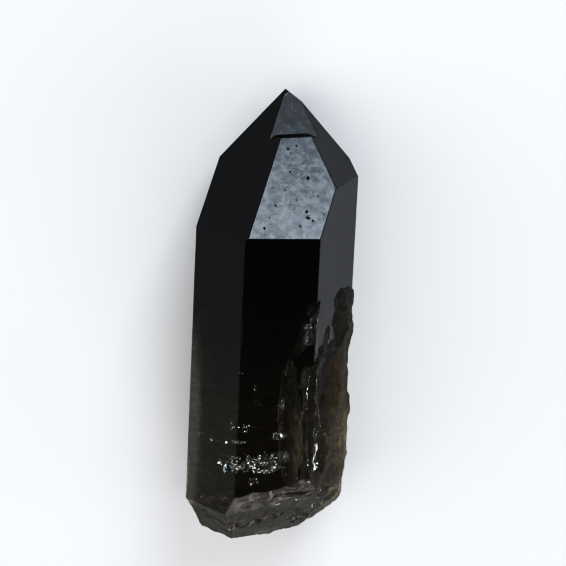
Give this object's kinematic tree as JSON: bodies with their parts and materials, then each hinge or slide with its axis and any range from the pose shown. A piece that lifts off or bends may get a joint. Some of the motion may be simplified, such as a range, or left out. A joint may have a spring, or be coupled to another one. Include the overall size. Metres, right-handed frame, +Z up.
{
  "type": "smoky quartz crystal",
  "caption": "Smoky quartz point with a six-sided prism, a faceted tip with a stepped front face, fluted side growth and a broken root, lying on one prism face.",
  "frame": {"origin": "middle of the crystal's bounding box on the surface it rests on", "axes": "+Y along the crystal's long axis towards its tip, +Z up out of the surface, +X to the right seen from above with the tip away"},
  "size_m": [0.0226, 0.0612, 0.0205],
  "materials": {
    "smoky_quartz": "glossy, clear and very dark brown, see-through at thin edges and towards the root"
  },
  "bodies": {
    "root": {"crystal": "smoky_quartz"}
  },
  "joints": []
}
